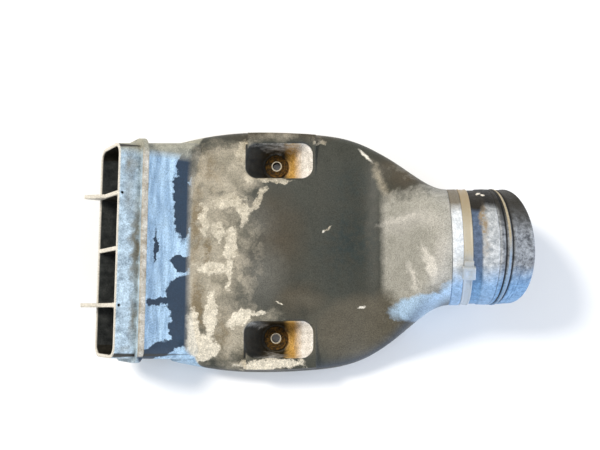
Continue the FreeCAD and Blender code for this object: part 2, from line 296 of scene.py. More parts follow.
def boot_profile(radius, bore, end_length):
    """The boot's wall as a closed outline of (distance, radius), from its rear edge out and back."""
    lip = RING + end_length
    outside = [
        (0.0, 40.4), (0.0, 42.6), (0.7, 43.4), (3.5, 43.4), (7.3, 43.4), (7.8, 42.9),
        (7.8, 41.9), (8.6, 41.9), (11.0, 41.9), (13.4, 41.9), (14.2, 41.9), (14.2, 42.3),
        (15.0, 42.4), (17.4, 42.4), (19.6, 42.35), (20.3, 42.55), (20.9, radius - 0.05),
        (22.5, radius), (25.0, radius + 0.12), (27.0, radius + 0.1),
    ]
    outside += [(RING + shift, radius + rise) for shift, rise in (
        (-4.9, 0.05), (-4.5, -0.45), (-4.1, 0.05), (-3.2, 0.0), (-2.5, 0.0), (-1.75, -1.05),
        (-1.1, 0.0), (-0.75, 0.38), (0.1, 0.38), (0.45, 0.0), (1.1, -1.05), (1.8, 0.0),
        (2.6, 0.0), (3.6, 0.0), (4.4, 0.0), (5.2, 0.0), (6.0, 0.0), (6.8, 0.0), (8.5, 0.0))]
    outside += [(lip - 0.9, radius - 0.02), (lip - 0.15, radius - 0.45), (lip, radius - 1.1)]
    inside = [(lip, bore + 0.7), (lip - 0.3, bore + 0.15), (lip - 1.2, bore)]
    inside += [(RING + 5.0, bore), (RING, bore)]
    inside += [(distance, BOOT_INSIDE) for distance in (RING - 1.0, 27.0, 20.0, 1.0)]
    return corner_cut(np.array(outside + inside), 0.25)


FINEST_STEP = 0.55
RIB_PITCH, RIB_HEIGHT = 1.5, 0.32
RIB_MIDDLE, RIB_REACH = 5.0, 2.6
RIB_SIDE = math.radians(62.0)
UNEVENNESS = 0.06


def boot_mesh(sizes, columns=220):
    """The boot: its wall outline carried along the boot's path.

    Point = centre(s) + r * (cos(a) * up(s) + sin(a) * side(s)), where r has three low ribs
    on the lower side of the end and a slow unevenness of a tenth of a millimetre. Each
    vertex keeps its distance along the boot and whether it lies in a groove or on the ridge.
    """
    end_length = sizes.end_length / MM
    radius = sizes.radius / MM
    outline = boot_profile(radius, sizes.bore / MM, end_length)
    s, r = outline[:, 0], outline[:, 1]
    fine = [(s[:1], r[:1])]
    for k in range(len(s)):
        n = (k + 1) % len(s)
        steps = max(1, int(math.hypot(s[n] - s[k], r[n] - r[k]) / FINEST_STEP))
        share = np.arange(1, steps + 1) / steps
        fine.append((s[k] + (s[n] - s[k]) * share, r[k] + (r[n] - r[k]) * share))
    s = np.concatenate([pair[0] for pair in fine])[:-1]
    r = np.concatenate([pair[1] for pair in fine])[:-1]
    centre, up, side = boot_path(s, end_length)
    a = np.linspace(0.0, 2.0 * np.pi, columns, endpoint=False)
    outer = r > radius - 1.2
    window = np.clip((np.cos(a + RIB_SIDE) - 0.45) / 0.4, 0.0, 1.0)[None]
    ribbed = np.clip(1.0 - np.abs(s - RING - RIB_MIDDLE) / RIB_REACH, 0.0, 1.0)[:, None] ** 0.5
    ribs = RIB_HEIGHT * window * ribbed * np.cos(2.0 * np.pi * (s - RING)[:, None] / RIB_PITCH)
    uneven = UNEVENNESS * np.sin(3.0 * a + 0.7)[None] * np.sin(s / 5.0)[:, None]
    full = r[:, None] + np.where(outer[:, None], ribs + uneven, 0.0)
    spoke = np.cos(a)[None, :, None] * up[:, None] + np.sin(a)[None, :, None] * side[:, None]
    points = centre[:, None] + full[..., None] * spoke
    mesh = surface("rubber_boot", points * MM, True, False, (0.27, 0.1))
    on_end = outer & (s > 24.0)
    marks = {
        "along": s,
        "groove": np.where(on_end & (s < RING + 3.0), np.clip((radius - 0.12 - r) / 0.5, 0.0, 1.0), 0.0),
        "ridge": np.where(on_end, np.clip((r - radius - 0.2) / 0.12, 0.0, 1.0), 0.0),
    }
    for name, values in marks.items():
        mark = mesh.attributes.new(name, "FLOAT", "POINT")
        mark.data.foreach_set("value", np.repeat(values, columns).astype(np.float32))
    return mesh


# ---- The nylon tie ----


def rounded_block(name, centre, ways, sizes, radius, dent=0.0):
    """A block with rounded edges: a rounded rectangle carried along the block's length.

    The outline shrinks over the last radius at both ends by a quarter circle, and its
    top sinks by dent inside a small window, as over the pawl of a tie.
    """
    along_way, wide_way, up_way = ways
    long_half, wide_half, tall_half = (size / 2.0 for size in sizes)
    turn = np.linspace(0.0, np.pi / 2.0, 7)
    long_flat, wide_flat, tall_flat = long_half - radius, wide_half - radius, tall_half - radius
    between = np.linspace(-1.0, 1.0, 31)[1:-1] * long_flat
    stations = np.concatenate([
        -long_half + radius * (1.0 - np.cos(turn)), between, long_flat + radius * np.sin(turn)])
    inset = np.concatenate([
        radius * (1.0 - np.sin(turn)), np.zeros_like(between), radius * (1.0 - np.cos(turn))])
    across_top = np.linspace(1.0, -1.0, 25)[1:-1] * wide_flat
    outline = []
    for sx, sy, start in ((1, 1, 0.0), (-1, 1, 90.0), (-1, -1, 180.0), (1, -1, 270.0)):
        a = np.radians(start + np.linspace(0.0, 90.0, 6))
        outline.append(np.stack([
            sx * wide_flat + radius * np.cos(a), sy * tall_flat + radius * np.sin(a)], 1))
        if start == 0.0:
            outline.append(np.stack([across_top, np.full_like(across_top, tall_half)], 1))
    outline = np.concatenate(outline)
    scale = 1.0 - inset[:, None] / np.array([wide_half, tall_half])
    flat_points = outline[None] * scale[:, None]
    wide, tall = flat_points[..., 0], flat_points[..., 1]
    # The dent fades out 2.6 mm along the block and 2.1 mm to each side
    hollow = np.clip(1.6 - np.abs(wide) / 1.3, 0.0, 1.0)
    hollow = hollow * np.clip(2.4 - np.abs(stations[:, None]) / 1.1, 0.0, 1.0)
    tall = tall - dent * hollow * (tall > tall_half * 0.97)
    points = centre + stations[:, None, None] * along_way
    points = points + wide[..., None] * wide_way + tall[..., None] * up_way
    return surface(name, points * MM, False, True)


HEAD_SIZE, HEAD_LIFT, HEAD_DENT = (9.6, 9.0, 5.1), 2.55, 0.7
TAIL_LENGTH, TAIL_LIFT, TAIL_SHIFT = 8.0, 2.5, 4.8


def tie_mesh(sizes):
    """The tie: a thin rounded strap turned round the neck, its head and the end of its tail."""
    width, thick = sizes.width / MM, sizes.thickness / MM
    half = width / 2.0
    inner, outer = SEAT_RADIUS + 0.02, SEAT_RADIUS + thick
    outline = np.array([
        (-half, inner + 0.3), (-half, outer - 0.3), (-half + 0.3, outer), (-half + 1.0, outer),
        (-half + 1.3, outer - 0.22), (0.0, outer - 0.22), (half - 1.3, outer - 0.22),
        (half - 1.0, outer), (half - 0.3, outer), (half, outer - 0.3), (half, inner + 0.3),
        (half - 0.3, inner), (0.0, inner), (-half + 0.3, inner)])
    strap = turned("strap", corner_cut(outline, 0.25), NECK_CENTRE, NECK_OUT, NECK_UP, 240)
    head_way = NECK_UP * math.cos(HEAD_ANGLE) - SIDE_WAY * math.sin(HEAD_ANGLE)
    round_way = np.cross(NECK_OUT, head_way)
    ways = round_way, NECK_OUT, head_way
    middle = NECK_CENTRE + head_way * (SLEEVE_RADIUS + HEAD_LIFT)
    head = rounded_block("head", middle, ways, HEAD_SIZE, 0.9, HEAD_DENT)
    middle = NECK_CENTRE + head_way * (SLEEVE_RADIUS + TAIL_LIFT) - round_way * TAIL_SHIFT
    tail = rounded_block("tail", middle, ways, (TAIL_LENGTH, width, thick), 0.35)
    return joined("nylon_tie", [strap, head, tail])


# ---- Grommets and sleeves ----


def on_bolt_line(name, outline, share, seat, side):
    """A ring turned about a bolt's line, its outline's corners cut; side is 1 for +Y, -1 for -Y."""
    centre = np.array([0.0, side * seat.pitch / MM / 2.0, 0.0])
    ways = np.array([0.0, 0.0, 1.0]), np.array([1.0, 0.0, 0.0])
    return turned(name, corner_cut(np.array(outline), share), centre, *ways, 72)


def grommet_mesh(name, seat, side):
    """A rubber grommet: a top hat with two raised rings, turned about the bolt's line."""
    flange = seat.flange / MM
    outline = [
        (0.0, 4.5), (0.0, 6.0), (5.6, 6.05), (6.02, 6.4), (6.02, flange - 0.3), (6.4, flange),
        (7.1, flange), (7.5, flange - 0.5), (7.3, flange - 1.2), (7.15, flange - 1.7),
        (7.45, flange - 2.2), (7.45, flange - 2.7), (7.1, flange - 3.2), (7.1, flange - 3.7),
        (7.6, flange - 4.1), (7.6, 4.7), (7.3, 4.3), (0.3, 4.3)]
    return on_bolt_line(name, outline, 0.22, seat, side)


def sleeve_mesh(name, seat, side):
    """A steel sleeve: a tube with rolled ends, turned about the bolt's line."""
    outline = [
        (0.0, 3.5), (0.0, 4.0), (0.25, 4.25), (7.6, 4.25), (7.85, 4.15), (8.0, 3.9),
        (8.0, 3.6), (7.75, 3.34), (0.3, 3.32)]
    return on_bolt_line(name, outline, 0.2, seat, side)


# ---- Materials ----

# Patches of film, dust, dirt and wear, in millimetres seen from above; some of them also
# carry painted sunlight, a painted glint and a painted reflection. Each is
# (x, y, half long, half wide, turn in degrees, gain).
BROWN_DUST = ((0, 6, 42, 62, 0, 1.3), (16, -38, 34, 26, 0, 1.2), (100, 56, 44, 24, -35, 1.6),
              (5, 92, 70, 14, 0, 1.5), (55, -62, 46, 24, 10, 1.2))
CLEAN_ROOF = ((58, 4, 34, 44, 0, 1.6), (60, 48, 30, 26, 0, 1.0))
OLIVE_CORNER = ((64, -60, 50, 28, 10, 2.4), (90, -46, 24, 20, 0, 2.0), (24, -40, 26, 10, 0, 0.8))
GREY_MIDDLE = ((-14, -20, 28, 36, 0, 2.0), (-14, 18, 18, 26, 0, 1.4))
THIN_WASH = ((-54, 0, 46, 100, 0, 1.8), (-40, 62, 36, 30, 0, 2.2), (-30, -66, 52, 30, 0, 1.6),
             (82, 53, 24, 7, -65, 1.0), (4, 88, 50, 9, 0, 0.6), (-20, -90, 40, 9, 0, 1.0))
BROWN_STAIN = ((-61, 18, 6, 42, 0, 1.1), (-52, -2, 4.5, 13, 0, 1.4), (-60, -44, 7, 28, 0, 1.3),
               (-52, 62, 12, 22, 20, 0.6), (-40, -66, 9, 22, 0, 0.6))
CONE_DUST_AND_LIGHT = ((106, 4, 54, 44, 0, 3.0), (92, -24, 26, 20, 0, 2.0), (98, -34, 24, 14, 0, 1.6))
CONE_GLOW = ((96, 16, 30, 10, 0, 1.1), (116, -14, 8, 26, -10, 1.4), (124, -8, 10, 40, 0, 0.3))
CONE_SMEARS = ((110, -14, 19, 3.6, -74, 1.5), (101, -23, 14, 3.0, -72, 1.3), (92, 20, 16, 3.0, 6, 0.9))
CRUST = (
    (-55, 23, 5, 17, 0, 1.2), (-36, 37, 17, 7, 10, 1.25), (-25, 28, 6, 14, 0, 1.1),
    (-14, 38, 16, 4.5, 60, 1.2), (-2, 54.5, 18, 3.4, -6, 1.3), (-34, 4, 7, 18, 0, 1.3),
    (-44, 12, 9, 13, 0, 0.9), (-49, -15, 19, 7, 0, 1.3), (-35, -20, 3.2, 19, 0, 1.1),
    (-50, -51, 7, 28, 0, 1.3), (-63, -62, 7, 22, 0, 1.2), (-58, -76, 18, 12, 0, 2.2),
    (-27, -53, 15, 8, 28, 1.4), (-12, -49, 10, 3, 20, 0.9), (-26, 76, 8, 16, 0, 0.9),
    (-20, 55, 6, 6, 0, 1.0), (-4, -88, 34, 5, 3, 1.7), (2, -84, 14, 3, 4, 1.2),
    (34, 84, 9, 3, 10, 0.8), (4, -42.5, 5, 1.6, 0, 1.0), (40, 16, 6, 2, 25, 0.7))
CRUST_HOLES = ((-33, 24, 8, 7, 0, 1.4), (-52, 0, 4, 12, 0, 1.4), (-45, 27, 4, 5, 0, 1.0),
               (-48, 6, 3.5, 6, 30, 0.9), (-56, -34, 4, 24, 0, 1.1))
FLECKS_AND_GLINT = ((70.5, 74.0, 9, 1.7, -49, 1.6), (66, -45, 3.6, 1.2, 10, 2.0), (37, 13, 1.2, 1.0, 0, 1.6))
NECK_FILM_AND_REFLECTION = ((112, -45, 34, 12, 8, 2.2), (124, -36, 14, 16, 0, 1.2))
TUBE_BARE = (
    (-71, 36, 9, 40, 0, 1.3), (-70, 62, 8, 18, 0, 1.1), (-70, -11, 11, 8, 0, 1.3),
    (-71, -36, 13, 20, 0, 1.35), (-84, -40, 15, 4, 8, 1.0), (-70, -58, 10, 24, 0, 1.3),
    (-84, -76, 26, 7, 22, 1.1), (-89, 0, 2.2, 22, 0, 0.8))
LIP_DIRT = ((-107, 60, 6, 10, 0, 1.2), (-106, 38, 5, 22, 0, 0.8), (-101.5, 0, 4, 46, 0, 1.6),
            (-102, -52, 4, 24, 0, 1.2), (-106, -74, 6, 5, 0, 0.7))
POCKET_CHALK = ((4, 83, 26, 4.5, 0, 1.6), (-14, -58, 10, 4, 0, 1.0), (-2, -83, 16, 3, 0, 1.5))
BARREL_STAIN_AND_LIGHT = ((147.0, 16, 3.4, 20, 0, 2.4), (148, -4, 2.6, 9, 0, 1.2))
BOOT_DIRT = ((144, 32, 8, 13, 0, 1.6), (160, 32, 9, 8, 0, 1.0))
BOOT_CHIPS = ((148.0, 36.5, 2.6, 1.0, 20, 2.0), (150.5, 35.0, 1.5, 0.9, -30, 2.0))
PATCH_DEPTH = 4000.0

# Where a look comes in on the duct, as the two levels that it fades between, in millimetres
TUBE_CREASE = (-42.5, -44.5)
CONE_LINE = (79.5, 84.5)
COLLAR_FRONT = (-97.0, -99.0)
COLLAR_CREST = (-8.2, -7.2)
TUBE_LIT_SIDE = (67.0, 74.0)
MOUTH_ROOF = (-12.2, -13.0)
MOUTH_FLOOR = (-49.4, -48.6)
MOUTH_HALF = (78.4, 77.8)
MOUTH_DRIFT = 2.5
LIP_FACE = (129.3, 129.9)
OILY_WALL = (-13.0, -7.0)
RUSTY_WALL = (6.0, 10.5)
CREAM_FILM_AND_LIT_WALL = (14.0, 21.0)
# The bolt pockets from side to side, off the middle line and from floor to roof
POCKET_X, POCKET_Y, POCKET_Z = (-24.0, 29.2), (55.2, 83.4), (5.0, 29.8)
# Along the boot from its rear edge, and round the sleeve's hole
PAST_TIE = (10.0, 12.0)
ON_BARREL = (20.3, 21.3)
ON_END = (27.8, 29.2)
SLEEVE_RIM = (7.4, 7.8)


def put(tree, kind, inputs=(), out=0, **settings):
    """Adds one shader node with its settings and links, and gives back one of its outputs.

    inputs holds values and sockets in the node's own order, or by their names. For a
    MapRange that order is the value, from low, from high, to low, to high.
    """
    node = tree.nodes.new("ShaderNode" + kind)
    for key, value in settings.items():
        setattr(node, key, value)
    for key, value in inputs.items() if isinstance(inputs, dict) else enumerate(inputs):
        socket = node.inputs[key]
        if isinstance(value, bpy.types.NodeSocket):
            tree.links.new(value, socket)
        else:
            socket.default_value = (*value, 1.0) if socket.type == "RGBA" else value
    return node.outputs[out]


def new_material(name):
    """An empty material and its tree."""
    material = bpy.data.materials.new(name)
    material.use_nodes = True
    material.node_tree.nodes.clear()
    return material, material.node_tree


def coated(material, shader):
    """The material with a shader linked to its output."""
    tree = material.node_tree
    tree.links.new(shader, tree.nodes.new("ShaderNodeOutputMaterial").inputs["Surface"])
    return material


def in_mm(tree):
    """Object coordinates in millimetres, so that a scale is one over a real size."""
    place = put(tree, "TexCoord", out="Object")
    return put(tree, "VectorMath", {0: place, "Scale": 1.0 / MM}, operation="SCALE")


def speckle(tree, place, size, detail, roughness, low=None, high=None):
    """A noise with grains of one size in millimetres, spread out between low and high if given."""
    noise = {"Vector": place, "Scale": 1.0 / size, "Detail": detail, "Roughness": roughness}
    grain = put(tree, "TexNoise", noise)
    return grain if low is None else put(tree, "MapRange", (grain, low, high))


def stirred(tree, place, size, reach):
    """Coordinates pushed about by a noise of one size in millimetres, for ragged outlines."""
    noise = {"Vector": place, "Scale": 1.0 / size, "Detail": 4.0, "Roughness": 0.6}
    push = put(tree, "TexNoise", noise, out="Color")
    push = put(tree, "VectorMath", (push, (0.5, 0.5, 0.5)), operation="SUBTRACT")
    push = put(tree, "VectorMath", {0: push, "Scale": reach}, operation="SCALE")
    return put(tree, "VectorMath", (place, push), operation="ADD")


def spots(tree, place, patches):
    """The highest of several soft round patches, each of which runs right through the part."""
    total = None
    for x, y, long_half, wide_half, turn, gain in patches:
        oval = {"Vector": place, "Location": (x, y, 0.0), "Rotation": (0.0, 0.0, math.radians(turn)),
                "Scale": (long_half, wide_half, PATCH_DEPTH)}
        local = put(tree, "Mapping", oval, vector_type="TEXTURE")
        fade = put(tree, "TexGradient", (local,), out="Fac", gradient_type="SPHERICAL")
        fade = put(tree, "Math", (fade, gain), operation="MULTIPLY")
        if total is not None:
            fade = put(tree, "Math", (total, fade), operation="MAXIMUM")
        total = fade
    return total


def band(tree, value, low, high, soft):
    """One between two levels and nothing outside, with soft edges."""
    rise = put(tree, "MapRange", (value, low - soft, low + soft))
    fall = put(tree, "MapRange", (value, high + soft, high - soft))
    return put(tree, "Math", (rise, fall), operation="MULTIPLY")


def coats(tree, ground, *layers):
    """A ground colour under coats laid on in turn, each (share that it covers, colour).

    Sockets 6 and 7 are the colours under and over the share in socket 0.
    """
    for share, colour in layers:
        ground = put(tree, "Mix", {0: share, 6: ground, 7: colour}, out=2, data_type="RGBA")
    return ground


def duct_places(tree):
    """What the moulding's colours build on: places in millimetres and noises of real sizes.

    height runs square to the mouth tube's broad faces, ahead runs out along the tube.
    """
    mm = in_mm(tree)
    x, y, z = put(tree, "SeparateXYZ", (mm,)).node.outputs
    facing = put(tree, "NewGeometry", out="Normal")
    ragged = stirred(tree, stirred(tree, mm, 9.0, 13.0), 2.6, 2.4)
    return SimpleNamespace(
        mm=mm, x=x, y=y, z=z, ragged=ragged,
        slope=put(tree, "SeparateXYZ", (facing,), out=1),
        soft=stirred(tree, mm, 26.0, 18.0),
        wavy_x=put(tree, "SeparateXYZ", (stirred(tree, mm, 5.0, 3.0),)),
        height=put(tree, "VectorMath", (mm, (math.sin(TUBE_TILT), 0.0, math.cos(TUBE_TILT))),
                   out="Value", operation="DOT_PRODUCT"),
        ahead=put(tree, "VectorMath", (mm, (-math.cos(TUBE_TILT), 0.0, math.sin(TUBE_TILT))),
                  out="Value", operation="DOT_PRODUCT"),
        slow=speckle(tree, mm, 45.0, 3.0, 0.5),
        patchy=speckle(tree, ragged, 15.0, 5.0, 0.65, 0.38, 0.6),
        mottle=speckle(tree, mm, 6.0, 6.0, 0.7, 0.33, 0.67),
        flake=speckle(tree, mm, 2.5, 4.0, 0.7, 0.36, 0.62),
        grit=speckle(tree, mm, 0.9, 3.0, 0.8))


def bare_colour(tree, finish, at):
    """The body's plastic: brown dust, a clean dark roof, an even olive corner, a greyer middle."""
    brown = put(tree, "Math", (spots(tree, at.soft, BROWN_DUST), at.slow, -0.2), operation="MULTIPLY_ADD")
    brown = put(tree, "Math", (brown, 1.6), operation="MULTIPLY", use_clamp=True)
    clean = spots(tree, at.soft, CLEAN_ROOF)
    clean = put(tree, "Math", (clean, at.mottle), operation="MULTIPLY", use_clamp=True)
    olive = put(tree, "Math", (spots(tree, at.soft, OLIVE_CORNER), 0.9), operation="MINIMUM")
    grey = spots(tree, at.soft, GREY_MIDDLE)
    grey = put(tree, "Math", (grey, 0.38), operation="MULTIPLY", use_clamp=True)
    return coats(tree, finish.bare, (brown, finish.earth), (clean, linear("28312F")),
                 (olive, linear("544F42")), (grey, linear("64625A")))


def washed_colour(tree, finish, at):
    """A thin wash over the left of the body and the ridge to the neck, with brown stains in it."""
    wash = put(tree, "Math", (at.patchy, 0.4, spots(tree, at.soft, THIN_WASH)), operation="MULTIPLY_ADD")
    wash = put(tree, "MapRange", (wash, 0.4, 1.25, 0.0, 0.92))
    stain = put(tree, "Math", (spots(tree, at.ragged, BROWN_STAIN), at.mottle), operation="MULTIPLY")
    stain = put(tree, "Math", (stain, 2.2), operation="MULTIPLY", use_clamp=True)
    stain = put(tree, "Math", (stain, 0.85), operation="MULTIPLY")
    film = coats(tree, finish.wash, (at.patchy, linear("A59C89")))
    return coats(tree, bare_colour(tree, finish, at), (wash, film), (stain, linear("6E6046")))


def cone_colour(tree, finish, at):
    """The cone of the neck is dusted pale from a plain line on, where the roof starts to rise;
    the pale is partly dust and partly painted sunlight on the rising slope.
    """
    line = put(tree, "MapRange", (at.wavy_x, *CONE_LINE))
    # The pale and its lighter patches are partly dust and partly painted sunlight on the slope
    dust = put(tree, "Math", (at.patchy, 0.5, spots(tree, at.soft, CONE_DUST_AND_LIGHT)), operation="MULTIPLY_ADD")
    dust = put(tree, "MapRange", (dust, 0.35, 1.25, 0.0, 0.95))
    dust = put(tree, "Math", (dust, line), operation="MULTIPLY")
    glow = spots(tree, at.soft, CONE_GLOW)
    glow = put(tree, "Math", (at.patchy, 0.3, glow), operation="MULTIPLY_ADD", use_clamp=True)
    pale = coats(tree, linear("9C9A90"), (glow, linear("B0ADA5")))
    smears = spots(tree, at.ragged, CONE_SMEARS)
    smears = put(tree, "Math", (smears, 0.8), operation="MULTIPLY", use_clamp=True)
    return coats(tree, washed_colour(tree, finish, at), (dust, pale), (smears, linear("D2CEC5")))


def crust_cover(tree, at):
    """How far the crust covers: smears of dried film, thin in places, with holes."""
    crust, holes = spots(tree, at.ragged, CRUST), spots(tree, at.ragged, CRUST_HOLES)
    crust = put(tree, "Math", (crust, holes), operation="SUBTRACT")
    crust = put(tree, "Math", (at.mottle, 0.42, crust), operation="MULTIPLY_ADD")
    crust = put(tree, "MapRange", (crust, 0.46, 0.72))
    thin = put(tree, "MapRange", (at.flake, 0.0, 1.0, 0.55, 1.0))
    return put(tree, "Math", (crust, thin), operation="MULTIPLY")


def body_colour(tree, finish, at, cover):
    """The flat body and the cone under their crust, with flecks and a painted glint, a cool film
    that is partly a painted reflection of a cool sky, and dark low sides and rim as painted shade.
    """
    lower = put(tree, "MapRange", (at.y, 60.0, -75.0, 0.0, 0.8))
    thick = put(tree, "Math", (at.mottle, 0.6, lower), operation="MULTIPLY_ADD", use_clamp=True)
    crust = coats(tree, linear("9C927C"), (thick, finish.film))
    # Flecks of crust, and a painted glint along the crease at the shoulder
    fleck_and_glint = spots(tree, stirred(tree, at.mm, 2.4, 2.6), FLECKS_AND_GLINT)
    fleck_and_glint = put(tree, "Math", (fleck_and_glint, 1.0), operation="MINIMUM")
    # A cool film low on the neck, partly film and partly a painted reflection of a cool sky
    film = put(tree, "Math", (at.mottle, 0.3, spots(tree, at.soft, NECK_FILM_AND_REFLECTION)), operation="MULTIPLY_ADD")
    film = put(tree, "MapRange", (film, 0.42, 0.95, 0.0, 0.92))
    # Painted shade: darker on the body's sides that face -Y
    under = put(tree, "MapRange", (at.slope, -0.3, -0.75, 0.0, 0.85))
    under = put(tree, "Math", (under, band(tree, at.x, 22.0, 108.0, 12.0)), operation="MULTIPLY")
    # Painted shade: darkest on the -Y edge, where the surface turns away
    rim = put(tree, "MapRange", (at.slope, -0.8, -0.97, 0.0, 0.8))
    return coats(tree, cone_colour(tree, finish, at), (cover, crust), (fleck_and_glint, linear("DDD8CB")),
                 (film, linear("A6C2DC")), (under, linear("3C434C")), (rim, linear("2E2F2C")))


def tube_colour(tree, finish, at):
    """The mouth tube's outside: a streaky cool film, worn through near the crease. Its blue,
    on the film and on the bare slate plastic, is partly a painted reflection of a cool sky.

    The lip side of the collar is mottled and painted blue grey the same way, with dirt against
    the collar. The collar's crest is pale, partly film and partly a painted highlight, and the
    +Y side is grey olive rather than blue, as painted sunlight.
    """
    # Streaks 3.3 mm across and 22 mm long
    along_y = put(tree, "Mapping", {"Vector": at.mm, "Scale": (0.3, 0.045, 0.3)})
    streak = speckle(tree, along_y, 1.0, 4.0, 0.5, 0.35, 0.65)
    bare = spots(tree, stirred(tree, at.ragged, 5.0, 3.0), TUBE_BARE)
    bare = put(tree, "Math", (at.mottle, 0.12, bare), operation="MULTIPLY_ADD")
    bare = put(tree, "MapRange", (bare, 0.3, 0.4))
    lip_side = put(tree, "MapRange", (at.x, *COLLAR_FRONT))
    dirt = put(tree, "Math", (spots(tree, at.ragged, LIP_DIRT), lip_side), operation="MULTIPLY")
    dirt = put(tree, "Math", (dirt, 0.8), operation="MULTIPLY", use_clamp=True)
    crest = put(tree, "MapRange", (at.height, *COLLAR_CREST))
    side = put(tree, "MapRange", (at.y, *TUBE_LIT_SIDE))
    # The blue of the film, the slate plastic and the lip side is partly a painted reflection of a cool sky;
    # the pale crest is partly a painted highlight, and the grey olive +Y side is painted sunlight
    return coats(
        tree, linear("86A1B8"), (streak, linear("B0CBDD")), (bare, finish.slate),
        (lip_side, coats(tree, linear("75858F"), (at.mottle, linear("BDD0DA")))),
        (dirt, linear("6E6C60")),
        (crest, coats(tree, linear("958A76"), (at.mottle, linear("C9C5BA")))),
        (side, coats(tree, linear("7F7F72"), (at.mottle, linear("A3A08F")))))


def mouth_coats(tree, at, on_tube):
    """Coats for inside the tube: brown black as painted shade over the dark plastic, with a pale
    rim and pale plate edges at the lip.
    """
    below = put(tree, "MapRange", (at.height, *MOUTH_ROOF))
    above = put(tree, "MapRange", (at.height, *MOUTH_FLOOR))
    wide = put(tree, "Math", (at.y, MOUTH_DRIFT), operation="ADD")
    wide = put(tree, "Math", (wide,), operation="ABSOLUTE")
    wide = put(tree, "MapRange", (wide, *MOUTH_HALF))
    inside = below
    for share in (above, wide, on_tube):
        inside = put(tree, "Math", (inside, share), operation="MULTIPLY")
    ahead = put(tree, "MapRange", (at.ahead, *LIP_FACE))
    # The brown black inside is painted shade, darker than the plastic
    dark = coats(tree, linear("1B1A16"), (at.mottle, linear("37342C")))
    return (inside, dark), (ahead, linear("CDC8BC"))


def pocket_coat(tree, at):
    """Bolt pockets: painted shade on the mouth side, olive round the bolt, a rust run, and a
    cream wall that is partly film and partly painted sunlight.
    """
    off = put(tree, "Math", (at.y,), operation="ABSOLUTE")
    sides = band(tree, at.x, *POCKET_X, 0.4), band(tree, off, *POCKET_Y, 0.4)
    inside = put(tree, "Math", sides, operation="MULTIPLY")
    inside = put(tree, "Math", (inside, band(tree, at.z, *POCKET_Z, 0.3)), operation="MULTIPLY")
    oily = put(tree, "MapRange", (at.wavy_x, *OILY_WALL))
    rusty = put(tree, "MapRange", (at.wavy_x, *RUSTY_WALL))
    cream_and_lit = put(tree, "MapRange", (at.wavy_x, *CREAM_FILM_AND_LIT_WALL))
    chalk = spots(tree, at.ragged, POCKET_CHALK)
    chalk = put(tree, "Math", (chalk, at.mottle), operation="MULTIPLY", use_clamp=True)
    # The dark wall on the mouth side is painted shade; the cream wall is partly film and partly painted
    # sunlight
    return inside, coats(
        tree, linear("1E2122"), (at.mottle, linear("34342F")), (oily, linear("322A17")),
        (rusty, coats(tree, linear("A27C3A"), (at.flake, linear("D2A75C")))),
        (cream_and_lit, coats(tree, linear("CCC6BB"), (at.mottle, linear("F0EBE4")))),
        (chalk, linear("BDBBB4")))


def duct_plastic(finish):
    """Blow moulded polypropylene, weathered: a dull dark skin under a dried, flaking pale film.

    The eye sees a matt charcoal moulding, ragged cream smears of uneven thickness, a thin
    grey tan wash, a cool film on the mouth tube that is partly a painted reflection of a cool
    sky, rust in the bolt pockets, painted shade low down and in the pockets, painted sunlight
    on the cone, a painted glint, fine grit and softly rounded edges.
    """
    material, tree = new_material("weathered_blow_moulded_polypropylene")
    at = duct_places(tree)
    cover = crust_cover(tree, at)
    on_tube = put(tree, "Math", (at.z, 0.7, at.x), operation="MULTIPLY_ADD")
    on_tube = put(tree, "MapRange", (on_tube, *TUBE_CREASE))
    colour = coats(tree, body_colour(tree, finish, at, cover), (on_tube, tube_colour(tree, finish, at)),
                   *mouth_coats(tree, at, on_tube), pocket_coat(tree, at))

    # Grit and blotches over everything, lighter and darker
    shade = put(tree, "MapRange", (at.grit, 0.32, 0.68, 0.58, 1.38))
    shade = put(tree, "Math", (at.patchy, 0.09, shade), operation="MULTIPLY_ADD")
    shade = put(tree, "Math", (at.mottle, 0.16, shade), operation="MULTIPLY_ADD")
    shade = put(tree, "Math", (shade, -0.11), operation="ADD")
    colour = put(tree, "VectorMath", {0: colour, "Scale": shade}, operation="SCALE")

    # Height in millimetres: a slow waviness of the blown wall, the crust and the grit
    normal = put(tree, "Bevel", {"Radius": finish.edge_round}, samples=6)
    wave = speckle(tree, at.mm, 22.0, 1.0, 0.5)
    for height, depth, strength in ((wave, 1.5, 0.6), (cover, 0.12, 0.7), (at.grit, 0.3, 0.6)):
        bump = {"Height": height, "Distance": depth * MM, "Strength": strength, "Normal": normal}
        normal = put(tree, "Bump", bump)
    rough = put(tree, "MapRange", (cover, 0.0, 1.0, 0.42, 0.66))
    rough = put(tree, "Math", (at.mottle, 0.12, rough), operation="MULTIPLY_ADD")
    look = {"Base Color": colour, "Roughness": rough, "IOR": 1.49, "Specular IOR Level": 0.35,
            "Normal": normal}
    return coated(material, put(tree, "BsdfPrincipled", look))


